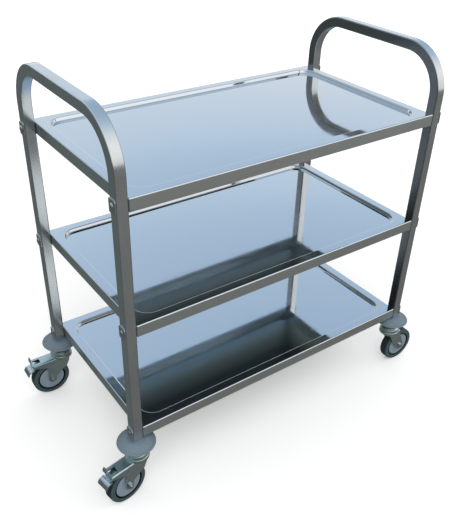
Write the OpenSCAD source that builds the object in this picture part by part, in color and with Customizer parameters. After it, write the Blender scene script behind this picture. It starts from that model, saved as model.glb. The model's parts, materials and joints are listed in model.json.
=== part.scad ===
// Three-shelf utility cart: two bent tube end frames, three pressed sheet shelves
// bolted between them, and four swivel casters under round bumper discs.
// X runs along the cart, Y across it towards the back, Z up. The origin is on the
// floor under the middle of the cart. Millimetres.

/* [Cart] */
// Length over the outer faces of the legs
cart_length = 850; // [600:5:1200]
// Width over the outer faces of the legs
cart_width = 450; // [380:5:700]
// Height of the bottom shelf's rim above the feet of the legs
foot_to_rim = 34; // [30:1:120]
// Distance from one shelf's rim to the next
shelf_pitch = 283; // [160:1:400]
// Height of the handles' top above the top shelf's rim
handle_rise = 148; // [130:1:260]

/* [Tube] */
// Outside width of the square tube
tube_w = 25; // [22:1:34]
// Wall thickness of the tube
tube_wall = 1.5; // [1:0.1:2]
// Outside corner radius of the tube
tube_corner = 3; // [2.5:0.1:5]
// Radius of the handle bends on the tube's centre line
bend_r = 97.5; // [45:0.5:110]

/* [Shelves] */
// Thickness of the shelf sheet
sheet = 1.2; // [0.8:0.1:1.8]
// Height of the skirt below the rim
skirt_h = 27; // [24:1:32]
// Outside radius of the folded edges
fold_r = 3; // [2.5:0.1:5]
// Width of the flat rim, from the skirt to the well
rim_w = 22; // [15:1:45]
// Depth of the well below the rim
well_depth = 8; // [5:0.5:14]
// Corner radius of the well
well_corner_r = 38; // [15:1:80]
// Radius of the folds at the top and foot of the well's wall
well_fold_r = 2.5; // [2.1:0.1:3]
// Slope of the well's wall from level, in degrees
well_slope = 70; // [50:1:80]
// Width of the hem turned in under the front and back skirts
hem_w = 10; // [6:1:16]

/* [Shelf fixings] */
// Diameter of the shelf bolts
bolt_d = 6; // [5:0.5:8]
// Height of the bolts below the rim
bolt_drop = 14; // [11:0.5:16]
// Diameter of the domed bolt heads
bolt_head_d = 16; // [12:0.5:18]
// Height of the domed bolt heads
bolt_head_h = 4.5; // [2.5:0.1:6]
// Size across the flats of the shelf nuts
nut_af = 10; // [10:0.5:13]
// Height of the shelf nuts
nut_h = 5; // [4:0.5:7]
// Height of the washer plates
plate_h = 29; // [22:1:36]
// Thickness of the washer plates
plate_t = 2.2; // [1.5:0.1:4]

/* [Wheels] */
// Diameter of the wheels
wheel_d = 100; // [80:1:125]
// Width of the tyres
wheel_w = 24; // [20:1:28]
// Diameter of the grey wheel centre's face
face_d = 69; // [50:1:72]
// Width of the groove between the wheel centre's face and the tyre
groove_w = 2; // [1.5:0.1:4]
// Depth of the tyre's rubber at the tread
tread_t = 10; // [5:0.5:11]
// Length of the wheel's hub
hub_len = 28; // [25:0.5:29]
// Radius of the tyre's shoulders
tread_round = 4; // [2:0.5:6]
// Diameter of the hub
hub_d = 20; // [17:0.5:26]
// Diameter of the axle sleeve
sleeve_d = 12; // [11:0.5:14]
// Diameter of the axle bolt
axle_d = 8; // [6:0.5:9]
// Size across the flats of the axle's bolt head and nut
axle_af = 13; // [13:0.5:17]
// Height of the axle's bolt head and nut
axle_nut_h = 5; // [4:0.5:8]

/* [Forks] */
// Distance from the swivel axis to the axle
trail = 38; // [32:0.5:44]
// Clear width between the fork's side plates
fork_gap = 30; // [30:0.5:34]
// Thickness of the fork's sheet
fork_t = 2.5; // [2:0.1:3]
// Outside radius of the fork's shoulders
shoulder_r = 5; // [3.5:0.1:7]
// Clearance from the tyre up to the fork's crown
crown_gap = 9.5; // [9:0.5:16]
// Radius of the boss round the axle on a fork with a brake
brake_boss_r = 11; // [9:0.5:13]
// Radius of the boss round the axle on a plain fork
plain_boss_r = 13; // [9:0.5:14]
// Length of a braked fork's channel from the swivel axis
channel_len = 82; // [80:0.5:90]
// Depth of the channel's side plates at its end
channel_depth = 9.5; // [6:0.5:14]
// Length of the slot in the channel
slot_len = 18; // [8:1:20]
// Width of the slot in the channel
slot_w = 15; // [8:1:20]
// Distance from the slot to the channel's end
slot_edge = 3; // [2:0.5:8]

/* [Swivels] */
// Diameter of the fork's race
race_d = 56; // [52:1:64]
// Height of the fork's race above its crown
race_h = 6.6; // [5.5:0.1:9]
// Radius of the rounded edges of the race and the swivel cap
race_round = 3; // [1:0.5:4]
// Gap between the race and the swivel cap
race_gap = 0.5; // [0.3:0.1:1]
// Diameter of the swivel cap
cap_d = 52; // [50:1:62]
// Height of the swivel cap
cap_h = 10.9; // [8:0.1:14]
// Diameter of the bearing balls
ball_d = 7; // [5:0.5:8]
// Number of balls in a swivel
ball_count = 12; // [6:1:14]
// Diameter of the circle on which the balls run
ball_circle_d = 40; // [36:0.5:42]
// Diameter of the kingpin
kingpin_d = 12; // [9:0.5:13]
// Diameter of the kingpin's riveted head
rivet_d = 18; // [15:0.5:20]
// Height of the kingpin's riveted head
rivet_h = 4; // [2:0.5:5]
// Size across the flats of the hexagon collar
collar_af = 27; // [22:0.5:32]
// Height of the hexagon collar
collar_h = 16; // [8:0.5:24]
// Diameter of the stem in the leg
stem_d = 11; // [8:0.5:12]
// Height of the plug in the foot of the leg
plug_h = 15; // [10:0.5:15]

/* [Bumpers] */
// Diameter of the bumper discs
bumper_d = 89; // [70:1:110]
// Height of the bumper discs, from the collar to the leg
bumper_h = 20; // [18:0.5:30]
// Diameter of the flat seat under the leg
bumper_seat_d = 38; // [36:1:48]
// Drop from the seat to the middle of the rim bead
bumper_drop = 12.5; // [8:0.5:14]
// Radius of the bead round the rim
bead_r = 2.5; // [1.5:0.1:3.5]
// Thickness of the bumper's wall
bumper_wall = 4; // [2.5:0.5:5]
// Diameter of the bumper's hub
bumper_hub_d = 32; // [28:1:36]

/* [Brakes] */
// Height of the pedal's pin above the top of the tyre
pin_up = 5; // [4.5:0.1:6]
// Distance of the pedal's pin behind the axle
pin_back = 5; // [0:0.5:8]
// Diameter of the pedal's pin
pin_d = 4; // [3:0.5:4.5]
// Diameter of the barrel round the pin
barrel_d = 7; // [6.5:0.5:7.5]
// Turn of the pedal from free to braked, in degrees
brake_turn = 6; // [3:0.5:7]
// Gap left between the pad and the tyre when the pedal is down
pad_gap = 1; // [0.3:0.1:1.2]
// Length of the brake pad along the arm
pad_len = 12; // [6:0.5:14]
// Thickness of the pedal's sheet
pedal_t = 2.5; // [2:0.1:3]
// Width of the pedal's arm
arm_w = 24; // [16:0.5:27]
// Width of the pedal's lip and tongue
tongue_w = 33; // [26:0.5:35]
// Height of the lip above the fork's crown
lip_up = 1.5; // [0.5:0.5:5]
// Depth of the lip below the fork's crown
lip_low = 2.5; // [1:0.5:6]
// Height of the release ear above the fork's crown
ear_up = 14; // [6:0.5:18]
// Width of the release ear's top
ear_w = 7; // [3:0.5:10]
// Width of the neck between the lip and the tongue
neck_w = 12; // [8:0.5:20]
// Depth of the tongue below the fork's crown
tongue_drop = 16; // [14:0.5:20]
// Radius of the tongue's outer curve
tongue_r = 13.5; // [8:0.5:16]
// Flat length of the tongue before its curve
tongue_flat = 3; // [1:0.5:10]
// Distance of the brake pad behind the axle
pad_start = 22; // [20:0.5:26]

/* [Rest angles] */
// Turn of the front left caster, from +X
turn_fl = 190; // [0:1:360]
// Turn of the back left caster
turn_bl = 179; // [0:1:360]
// Turn of the front right caster
turn_fr = 358; // [0:1:360]
// Turn of the back right caster
turn_br = 1; // [0:1:360]

/* [Hidden] */
$fn = 64;
// Radial clearance of turned fits, clearance of the leg plugs, and overshoot of cuts
fit = 0.05;
plug_fit = 0.1;
over = 1;

leg_x = (cart_length - tube_w) / 2;
leg_y = (cart_width - tube_w) / 2;
shelf_x = cart_length / 2 - tube_w;
shelf_y = cart_width / 2;

axle_z = wheel_d / 2;
crown_under = wheel_d + crown_gap;
crown_z = crown_under + fork_t;
race_z = crown_z + race_h;
cap_z = race_z + race_gap;
collar_z = cap_z + cap_h;
bumper_z = collar_z + collar_h;
foot_z = bumper_z + bumper_h;
rivet_play = 0.3;

bottom_rim = foot_z + foot_to_rim;
rims = [bottom_rim, bottom_rim + shelf_pitch, bottom_rim + 2 * shelf_pitch];
handle_z = rims[2] + handle_rise - tube_w / 2;
bend_z = handle_z - bend_r;

// The well's wall: a fold, a straight slope and a fold back to level
well_straight = (well_depth - 2 * well_fold_r * (1 - cos(well_slope))) / sin(well_slope);
well_run = 2 * well_fold_r * sin(well_slope) + well_straight * cos(well_slope);

fork_y = fork_gap / 2 + fork_t;
pin_x = trail + pin_back;
pin_z = wheel_d + pin_up;
// Width of the lands beside the balls, floor of the race, and the riveted heads of the brake pin
race_step = 6;
race_floor = 1;
pin_head_t = 1;
pin_head_d = pin_d + 2;
// Gap between the channel's end and the pedal's lip
lip_gap = 0.8;

corners = [[-1, -1, turn_fl], [-1, 1, turn_bl], [1, -1, turn_fr], [1, 1, turn_br]];

function arc(cx, cy, r, a0, a1, n = 8) =
    [for (i = [0:n]) let (a = a0 + (a1 - a0) * i / n) [cx + r * cos(a), cy + r * sin(a)]];

// A square with round corners
module round_square(w, h, r) {
    square([w - 2 * r, h], center = true);
    square([w, h - 2 * r], center = true);
    for (x = [-1, 1], y = [-1, 1]) translate([x * (w / 2 - r), y * (h / 2 - r)]) circle(r);
}

// A hexagon by its size across the flats
module hexagon(af, h) cylinder(d = af / cos(30), h = h, $fn = 6);

// END FRAMES

module tube_section() difference() {
    round_square(tube_w, tube_w, tube_corner);
    round_square(tube_w - 2 * tube_wall, tube_w - 2 * tube_wall, tube_corner - tube_wall);
}

// A level hole along X through everything at one bolt
module bolt_hole(y, z) translate([0, y, z]) rotate([0, 90, 0])
    cylinder(d = bolt_d + 2 * fit, h = cart_length + 2 * over, center = true);

module end_frame(side) color([0.55, 0.58, 0.58]) difference() {
    translate([side * leg_x, 0, 0]) {
        for (s = [-1, 1]) {
            translate([0, s * leg_y, foot_z]) linear_extrude(bend_z - foot_z) tube_section();
            translate([0, s * (leg_y - bend_r), bend_z]) rotate([90, 0, s * 90])
                rotate_extrude(angle = 90) translate([bend_r, 0]) tube_section();
        }
        translate([0, 0, handle_z]) rotate([90, 0, 0])
            linear_extrude(2 * (leg_y - bend_r), center = true) tube_section();
    }
    for (z = rims, s = [-1, 1]) bolt_hole(s * leg_y, z - bolt_drop);
}

// SHELVES

// A block with a rounded rectangular outline. Each point of pts is the distance of the
// edge outside the corner centres at [xc, yc], and its height.
module edged_block(xc, yc, pts) {
    n = len(pts) - 1;
    tip = pts[n][0] > 0 ? [[0, pts[n][1]]] : [];
    for (x = [-xc, xc], y = [-yc, yc]) translate([x, y, 0])
        rotate_extrude() polygon(concat([[0, pts[0][1]]], pts, tip));
    rotate([90, 0, 0]) linear_extrude(2 * yc, center = true) polygon(two_sided(xc, pts));
    rotate([90, 0, 90]) linear_extrude(2 * xc, center = true) polygon(two_sided(yc, pts));
}

function two_sided(c, pts) = concat([for (p = pts) [c + p[0], p[1]]],
    [for (i = [len(pts) - 1:-1:0]) [-c - pts[i][0], pts[i][1]]]);

// The skirt and the fold into the rim, moved in by the distance off
function skirt_edge(off, foot) = concat([[fold_r - off, foot]],
    arc(0, -fold_r, fold_r - off, 0, 90));

// The well's wall from the rim to the floor, moved out by the distance off
function well_edge(off) = concat(
    [for (a = [0:well_slope / 6:well_slope + 0.01])
        [well_corner_r - (well_fold_r - off) * sin(a),
         -well_fold_r + (well_fold_r - off) * cos(a)]],
    [for (a = [well_slope:-well_slope / 6:-0.01])
        [well_corner_r - well_run + (well_fold_r + off) * sin(a),
         -well_depth + well_fold_r - (well_fold_r + off) * cos(a)]]);

module shelf(rim) color([0.68, 0.75, 0.80]) translate([0, 0, rim]) {
    ox = shelf_x - fold_r;
    oy = shelf_y - fold_r;
    wx = shelf_x - rim_w - well_corner_r;
    wy = shelf_y - rim_w - well_corner_r;
    difference() {
        union() {
            difference() {
                edged_block(ox, oy, skirt_edge(0, -skirt_h));
                edged_block(ox, oy, skirt_edge(sheet, -skirt_h - over));
            }
            edged_block(wx, wy, concat([[well_corner_r, -sheet / 2]], well_edge(sheet)));
            for (s = [-1, 1])
                translate([0, s * (shelf_y - hem_w / 2 - sheet / 2), sheet / 2 - skirt_h])
                    cube([2 * ox, hem_w - sheet, sheet], center = true);
        }
        edged_block(wx, wy, concat([[well_corner_r, over]], well_edge(0)));
        for (s = [-1, 1]) bolt_hole(s * leg_y, -bolt_drop);
    }
}

// SHELF FIXINGS

// Puts its children at each bolt of one end frame, on the outer face of the leg,
// with +Z pointing away from the cart
module at_bolts(side) for (z = rims, s = [-1, 1])
    translate([side * cart_length / 2, s * leg_y, z - bolt_drop])
        rotate([0, side * 90, 0]) children();

// A dome of the given radius and height on a flat base
module dome(r, h) {
    big = (r * r + h * h) / (2 * h);
    rotate_extrude() intersection() {
        translate([0, h - big]) circle(big);
        square([r, h]);
    }
}

module washer_plates(side) color([0.50, 0.52, 0.50]) at_bolts(side) difference() {
    linear_extrude(plate_t) round_square(plate_h, tube_w, tube_corner);
    translate([0, 0, -over]) cylinder(d = bolt_d + 2 * fit, h = plate_t + 2 * over);
}

module shelf_bolts(side) color([0.66, 0.68, 0.68]) at_bolts(side) {
    translate([0, 0, plate_t]) dome(bolt_head_d / 2, bolt_head_h);
    shank = tube_w + sheet + nut_h + over;
    translate([0, 0, -shank]) cylinder(d = bolt_d, h = shank + plate_t);
}

module shelf_nuts(side) color([0.66, 0.68, 0.68]) at_bolts(side)
    translate([0, 0, -tube_w - sheet - nut_h]) difference() {
        hexagon(nut_af, nut_h);
        translate([0, 0, -over]) cylinder(d = bolt_d + 2 * fit, h = nut_h + 2 * over);
    }

// CASTERS. Each is drawn with its swivel axis on Z and its wheel trailing along +X.

module at_corner(c) translate([corners[c][0] * leg_x, corners[c][1] * leg_y, 0])
    rotate([0, 0, corners[c][2]]) children();

// The plug sits square in the leg, whatever way the caster has turned
module at_leg(c) translate([corners[c][0] * leg_x, corners[c][1] * leg_y, 0]) children();

// The disc's top falls from its seat to the bead in a shallow dome
module bumper() color([0.47, 0.53, 0.59]) translate([0, 0, foot_z]) rotate_extrude() {
    bore = stem_d / 2 + fit;
    seat = bumper_seat_d / 2;
    bead_x = bumper_d / 2 - bead_r;
    polygon(concat(
        [[bore, 0]],
        [for (t = [0:0.125:1]) [seat + (bead_x - bead_r - seat) * t, (bead_r - bumper_drop) * pow(t, 1.5)]],
        arc(bead_x, -bumper_drop, bead_r, 90, -90, 12),
        [[bead_x - bead_r, -bumper_drop - bead_r], [bumper_hub_d / 2, -bumper_wall - 1],
         [bumper_hub_d / 2, -bumper_h], [bore, -bumper_h]]));
}

module stem_plug() color([0.20, 0.21, 0.22]) translate([0, 0, foot_z]) difference() {
    w = tube_w - 2 * tube_wall - 2 * plug_fit;
    linear_extrude(plug_h) round_square(w, w, tube_corner - tube_wall);
    translate([0, 0, -over]) cylinder(d = stem_d + 2 * fit, h = plug_h + 2 * over);
}

module stem() color([0.62, 0.66, 0.66]) {
    rivet_top = crown_under - rivet_play;
    translate([0, 0, rivet_top - rivet_h]) cylinder(d = rivet_d, h = rivet_h);
    translate([0, 0, rivet_top - over]) cylinder(d = kingpin_d, h = collar_z - rivet_top + 2 * over);
    translate([0, 0, collar_z]) hexagon(collar_af, collar_h);
    translate([0, 0, bumper_z - over]) cylinder(d = stem_d, h = bumper_h + plug_h);
}

// The round groove in which the balls run, halfway between the race and the cap
module ball_track() translate([0, 0, race_z + race_gap / 2]) rotate_extrude()
    translate([ball_circle_d / 2, 0]) circle(d = ball_d + 2 * fit);

// The cap turns over from its brim to a shoulder as wide as the land inside the balls
module swivel_cap() color([0.60, 0.66, 0.66]) difference() {
    well = ball_circle_d / 2 - race_step;
    brim_top = cap_z + cap_h / 2;
    rotate_extrude() polygon(concat(
        [[kingpin_d / 2 + fit, cap_z + ball_d / 2], [well, cap_z + ball_d / 2], [well, cap_z], [cap_d / 2, cap_z]],
        arc(cap_d / 2 - race_round, brim_top, race_round, 0, 60),
        arc(cap_d / 2 - race_step, collar_z - race_round, race_round, 30, 90),
        [[kingpin_d / 2 + fit, collar_z]]));
    ball_track();
}

// The lower race, open in the middle over the riveted head
module race() rotate_extrude() polygon(concat(
    [[0, crown_under], [race_d / 2, crown_under]],
    arc(race_d / 2 - race_round, race_z - race_round, race_round, 0, 90),
    [[ball_circle_d / 2 - race_step, race_z], [ball_circle_d / 2 - race_step, crown_z + race_floor],
     [0, crown_z + race_floor]]));

module swivel_balls() color([0.80, 0.82, 0.83]) for (i = [0:ball_count - 1])
    rotate([0, 0, i * 360 / ball_count])
        translate([ball_circle_d / 2, 0, race_z + race_gap / 2]) sphere(d = ball_d);

// Side outlines of the two forks, along the trail and up
module plain_side() {
    polygon([[-15, crown_z], [-11, crown_z - 9], [trail - 43.5, axle_z + 45.5],
        [trail - 31.6, axle_z + 23.4], [trail - 20.4, axle_z + 5.3],
        [trail - plain_boss_r * 0.72, axle_z - plain_boss_r * 0.69], [trail, axle_z],
        [trail + plain_boss_r * 0.86, axle_z + plain_boss_r * 0.5],
        [trail - 5, axle_z + 42], [trail - 10, crown_z]]);
    translate([trail, axle_z]) circle(plain_boss_r);
}

module brake_side() {
    polygon([[-17, crown_z], [-14, crown_z - 17], [-6, crown_z - 34], [10, crown_z - 43],
        [trail - brake_boss_r * 0.87, axle_z + brake_boss_r * 0.5], [trail, axle_z],
        [trail + brake_boss_r, axle_z], [trail + 9, axle_z + 23], [trail + 7, axle_z + 38],
        [trail + 13, axle_z + 42.5], [channel_len, crown_z - channel_depth], [channel_len, crown_z]]);
    translate([trail, axle_z]) circle(brake_boss_r);
}

// The folded sheet's section across the fork: two side plates and round shoulders
module fork_section() difference() {
    fork_outline(fork_y, crown_z, shoulder_r);
    fork_outline(fork_gap / 2, crown_under, shoulder_r - fork_t);
}

module fork_outline(half, top, r) {
    translate([-half, 0]) square([2 * half, top - r]);
    translate([r - half, 0]) square([2 * (half - r), top]);
    for (s = [-1, 1]) translate([s * (half - r), top - r]) circle(r);
}

module fork(braked) color([0.42, 0.48, 0.47]) difference() {
    union() {
        intersection() {
            rotate([90, 0, 0]) linear_extrude(2 * fork_y + over, center = true)
                if (braked) brake_side(); else plain_side();
            translate([-race_d / 2, 0, 0]) rotate([90, 0, 90])
                linear_extrude(race_d + channel_len) fork_section();
        }
        race();
    }
    ball_track();
    translate([0, 0, crown_under - over]) cylinder(d = kingpin_d + 2 * fit, h = race_h + fork_t + 2 * over);
    translate([trail, 0, axle_z]) rotate([90, 0, 0])
        cylinder(d = axle_d + 2 * fit, h = 2 * fork_y + 2 * over, center = true);
    if (braked) {
        translate([pin_x, 0, pin_z]) rotate([90, 0, 0])
            cylinder(d = pin_d + 2 * fit, h = 2 * fork_y + 2 * over, center = true);
        translate([channel_len - slot_edge - slot_len / 2, 0, crown_z])
            cube([slot_len, slot_w, 2 * fork_t + 2 * over], center = true);
    }
}

// Everything on the axle is drawn about Z and laid along the axle
module on_axle() translate([trail, 0, axle_z]) rotate([-90, 0, 0]) children();

module axle_bolt() color([0.70, 0.74, 0.74]) on_axle() {
    translate([0, 0, -fork_y - axle_nut_h]) hexagon(axle_af, axle_nut_h);
    translate([0, 0, -fork_y - over]) cylinder(d = axle_d, h = 2 * fork_y + axle_nut_h + 2 * over);
}

module axle_nut() color([0.72, 0.76, 0.76]) on_axle() translate([0, 0, fork_y]) difference() {
    hexagon(axle_af, axle_nut_h);
    translate([0, 0, -over]) cylinder(d = axle_d + 2 * fit, h = axle_nut_h + 2 * over);
}

module axle_sleeve() color([0.62, 0.64, 0.62]) on_axle() difference() {
    cylinder(d = sleeve_d, h = fork_gap, center = true);
    cylinder(d = axle_d + 2 * fit, h = fork_gap + 2 * over, center = true);
}

// Half widths and radii that the wheel centre and the tyre share
face_y = wheel_w / 2 - 1.5;
seat_y = wheel_w / 2 - 4;
face_r = face_d / 2;
seat_r = wheel_d / 2 - tread_t;
lip_r = face_r + groove_w;

module wheel_centre() color([0.47, 0.47, 0.49]) on_axle() rotate_extrude() {
    half = [[hub_d / 2, hub_len / 2], [hub_d / 2, face_y], [face_r - 1, face_y],
        [face_r, face_y - 1], [face_r, seat_y], [seat_r, seat_y]];
    bore = sleeve_d / 2 + fit;
    polygon(concat([[bore, hub_len / 2]], half,
        [for (i = [len(half) - 1:-1:0]) [half[i][0], -half[i][1]]], [[bore, -hub_len / 2]]));
}

module tyre() color([0.20, 0.23, 0.25]) on_axle() rotate_extrude() {
    half = concat([[seat_r, seat_y], [lip_r, seat_y], [lip_r, wheel_w / 2 - 1.5], [lip_r + 1, wheel_w / 2]],
        [for (p = arc(wheel_d / 2 - tread_round, wheel_w / 2 - tread_round, tread_round, 90, 0)) p]);
    polygon(concat(half, [for (i = [len(half) - 1:-1:0]) [half[i][0], -half[i][1]]]));
}

// BRAKES

module brake_pin() color([0.66, 0.70, 0.70]) translate([pin_x, 0, pin_z]) rotate([90, 0, 0]) {
    cylinder(d = pin_d, h = 2 * (fork_y + pin_head_t / 2), center = true);
    for (s = [-1, 1]) translate([0, 0, s * (fork_y + pin_head_t / 2)])
        cylinder(d = pin_head_d, h = pin_head_t, center = true);
}

// The arm runs straight from its barrel down to the root of the tongue, with the pad under it
module brake_pedal() color([0.66, 0.72, 0.75]) {
    lip_x = channel_len + lip_gap;
    tongue_z = crown_z - tongue_drop;
    pad_x = trail + pad_start;
    reach = lip_x + pedal_t / 2 - pin_x;
    fall = (pin_z - tongue_z + pedal_t / 2) / reach;
    half = tongue_w / 2;
    ear_y = -half / 2;
    difference() {
        union() {
            translate([pin_x, 0, pin_z]) rotate([90, 0, 0]) cylinder(d = barrel_d, h = arm_w, center = true);
            rotate([90, 0, 0]) linear_extrude(arm_w, center = true) {
                translate([pin_x, pin_z]) rotate(-atan(fall)) translate([0, -pedal_t / 2])
                    square([reach / cos(atan(fall)), pedal_t]);
                polygon([[pad_x, axle_z], [pad_x, pin_z - fall * (pad_x - pin_x)],
                    [pad_x + pad_len, pin_z - fall * (pad_x + pad_len - pin_x)], [pad_x + pad_len, axle_z]]);
            }
        }
        // The pad is cut by the tyre's circle, turned back about the pin
        translate([pin_x, 0, pin_z]) rotate([0, -brake_turn, 0])
            translate([trail - pin_x, 0, axle_z - pin_z]) rotate([90, 0, 0])
                cylinder(r = wheel_d / 2 + pad_gap, h = arm_w + 2 * over, center = true);
        translate([pin_x, 0, pin_z]) rotate([90, 0, 0])
            cylinder(d = pin_d + 2 * fit, h = arm_w + 2 * over, center = true);
    }
    // The lip closes the channel's end, with the release ear on one half and the neck below
    translate([lip_x, 0, 0]) rotate([90, 0, 90]) linear_extrude(pedal_t) {
        polygon([[-half, crown_z - lip_low], [half, crown_z - lip_low], [half, crown_z + lip_up],
            [0, crown_z + lip_up], [ear_y + ear_w / 2, crown_z + ear_up],
            [ear_y - ear_w / 2, crown_z + ear_up], [-half, crown_z + lip_up]]);
        translate([-neck_w / 2, tongue_z - pedal_t])
            square([neck_w, tongue_drop - lip_low + pedal_t + over]);
    }
    rotate([90, 0, 0]) linear_extrude(tongue_w, center = true) {
        translate([lip_x, tongue_z - pedal_t]) square([tongue_flat + pedal_t, pedal_t]);
        translate([lip_x + tongue_flat + pedal_t / 2, tongue_z - tongue_r]) intersection() {
            difference() {
                circle(tongue_r);
                circle(tongue_r - pedal_t);
            }
            square(tongue_r);
        }
    }
}

end_frame(-1);  // end_frame_left
end_frame(1);  // end_frame_right
shelf(rims[2]);  // shelf_top
shelf(rims[1]);  // shelf_middle
shelf(rims[0]);  // shelf_bottom
washer_plates(-1);  // washer_plates_left
washer_plates(1);  // washer_plates_right
shelf_bolts(-1);  // shelf_bolts_left
shelf_bolts(1);  // shelf_bolts_right
shelf_nuts(-1);  // shelf_nuts_left
shelf_nuts(1);  // shelf_nuts_right

at_corner(0) bumper();  // front_left_bumper
at_leg(0) stem_plug();  // front_left_stem_plug
at_corner(0) stem();  // front_left_stem
at_corner(0) swivel_cap();  // front_left_swivel_cap
at_corner(0) swivel_balls();  // front_left_swivel_balls
at_corner(0) fork(true);  // front_left_fork
at_corner(0) axle_bolt();  // front_left_axle_bolt
at_corner(0) axle_nut();  // front_left_axle_nut
at_corner(0) axle_sleeve();  // front_left_axle_sleeve
at_corner(0) wheel_centre();  // front_left_wheel_centre
at_corner(0) tyre();  // front_left_tyre
at_corner(0) brake_pin();  // front_left_brake_pin
at_corner(0) brake_pedal();  // front_left_brake_pedal

at_corner(1) bumper();  // back_left_bumper
at_leg(1) stem_plug();  // back_left_stem_plug
at_corner(1) stem();  // back_left_stem
at_corner(1) swivel_cap();  // back_left_swivel_cap
at_corner(1) swivel_balls();  // back_left_swivel_balls
at_corner(1) fork(true);  // back_left_fork
at_corner(1) axle_bolt();  // back_left_axle_bolt
at_corner(1) axle_nut();  // back_left_axle_nut
at_corner(1) axle_sleeve();  // back_left_axle_sleeve
at_corner(1) wheel_centre();  // back_left_wheel_centre
at_corner(1) tyre();  // back_left_tyre
at_corner(1) brake_pin();  // back_left_brake_pin
at_corner(1) brake_pedal();  // back_left_brake_pedal

at_corner(2) bumper();  // front_right_bumper
at_leg(2) stem_plug();  // front_right_stem_plug
at_corner(2) stem();  // front_right_stem
at_corner(2) swivel_cap();  // front_right_swivel_cap
at_corner(2) swivel_balls();  // front_right_swivel_balls
at_corner(2) fork(false);  // front_right_fork
at_corner(2) axle_bolt();  // front_right_axle_bolt
at_corner(2) axle_nut();  // front_right_axle_nut
at_corner(2) axle_sleeve();  // front_right_axle_sleeve
at_corner(2) wheel_centre();  // front_right_wheel_centre
at_corner(2) tyre();  // front_right_tyre

at_corner(3) bumper();  // back_right_bumper
at_leg(3) stem_plug();  // back_right_stem_plug
at_corner(3) stem();  // back_right_stem
at_corner(3) swivel_cap();  // back_right_swivel_cap
at_corner(3) swivel_balls();  // back_right_swivel_balls
at_corner(3) fork(false);  // back_right_fork
at_corner(3) axle_bolt();  // back_right_axle_bolt
at_corner(3) axle_nut();  // back_right_axle_nut
at_corner(3) axle_sleeve();  // back_right_axle_sleeve
at_corner(3) wheel_centre();  // back_right_wheel_centre
at_corner(3) tyre();  // back_right_tyre
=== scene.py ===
"""The looks of a three-shelf utility cart of polished and brushed stainless steel.

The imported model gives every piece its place. The operators below dress it piece by piece
and set the stage, and main() calls them in order.
"""

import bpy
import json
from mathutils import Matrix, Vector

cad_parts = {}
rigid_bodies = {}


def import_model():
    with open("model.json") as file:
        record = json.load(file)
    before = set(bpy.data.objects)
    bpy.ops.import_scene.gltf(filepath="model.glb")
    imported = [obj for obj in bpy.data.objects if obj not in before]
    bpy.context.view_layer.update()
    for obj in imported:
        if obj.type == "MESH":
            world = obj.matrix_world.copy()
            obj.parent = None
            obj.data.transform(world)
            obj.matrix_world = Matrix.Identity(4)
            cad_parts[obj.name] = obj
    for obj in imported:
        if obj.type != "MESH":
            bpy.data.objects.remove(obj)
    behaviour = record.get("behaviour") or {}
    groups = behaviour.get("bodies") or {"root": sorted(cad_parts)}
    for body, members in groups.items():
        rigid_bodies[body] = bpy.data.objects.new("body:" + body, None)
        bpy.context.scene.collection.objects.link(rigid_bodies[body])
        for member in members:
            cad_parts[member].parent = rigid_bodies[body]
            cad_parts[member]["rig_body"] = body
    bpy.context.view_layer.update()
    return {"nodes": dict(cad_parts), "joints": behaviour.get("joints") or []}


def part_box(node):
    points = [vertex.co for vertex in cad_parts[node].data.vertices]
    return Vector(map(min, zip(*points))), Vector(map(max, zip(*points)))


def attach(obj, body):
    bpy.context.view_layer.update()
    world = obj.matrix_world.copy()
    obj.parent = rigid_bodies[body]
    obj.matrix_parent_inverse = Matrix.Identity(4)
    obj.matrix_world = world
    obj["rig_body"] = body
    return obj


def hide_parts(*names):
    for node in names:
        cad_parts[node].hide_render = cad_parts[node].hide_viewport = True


bl_info = {
    "name": "Utility Cart",
    "version": (1, 0, 0),
    "blender": (4, 5, 0),
    "location": "View3D > Sidebar > Cart",
    "description": "Dresses a three-shelf utility cart in steel, rubber and plastic",
    "category": "Object",
}

import json
import math

import bmesh
import bpy
from mathutils import Matrix, Vector

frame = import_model()
MM = 0.001
CORNERS = ("front_left", "back_left", "front_right", "back_right")
BRAKED = CORNERS[:2]


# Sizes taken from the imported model

def node_box(node):
    """Lowest and highest corner of a node, as vectors."""
    low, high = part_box(node)
    return Vector(low), Vector(high)


LEFT_LOW, LEFT_HIGH = node_box("end_frame_left")
TUBE_W = LEFT_HIGH.x - LEFT_LOW.x
LEG_X = -(LEFT_HIGH.x + LEFT_LOW.x) / 2
LEG_Y = LEFT_HIGH.y - TUBE_W / 2
FOOT_Z = LEFT_LOW.z
HANDLE_Z = LEFT_HIGH.z - TUBE_W / 2
RIMS = [node_box("shelf_" + level)[1].z for level in ("bottom", "middle", "top")]
WHEEL_R = node_box("front_left_tyre")[1].z / 2
GROOVE_R = 36.0 * MM  # where the tyre meets the wheel centre, in a groove
JOINTS = {joint["name"]: joint for joint in frame["joints"]}
ROLL = Vector(JOINTS["front_left_roll"]["pos_m"])
SWIVEL = Vector(JOINTS["front_left_swivel"]["pos_m"])
TRAIL = (ROLL.xy - SWIVEL.xy).length


def caster_place(corner):
    """Places a caster drawn with its swivel axis on Z and its wheel trailing along +X."""
    across = JOINTS[corner + "_roll"]["axis"]
    place = JOINTS[corner + "_swivel"]["pos_m"]
    turn = math.atan2(-across[0], across[1])
    return Matrix.Translation((place[0], place[1], 0)) @ Matrix.Rotation(turn, 4, "Z")


def wheel_place(corner):
    """Places a wheel or axle drawn on Z at its caster's roll axis."""
    lay = Matrix.Translation((TRAIL, 0, ROLL.z)) @ Matrix.Rotation(-math.pi / 2, 4, "X")
    return caster_place(corner) @ lay


# Settings that a user would change

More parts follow.
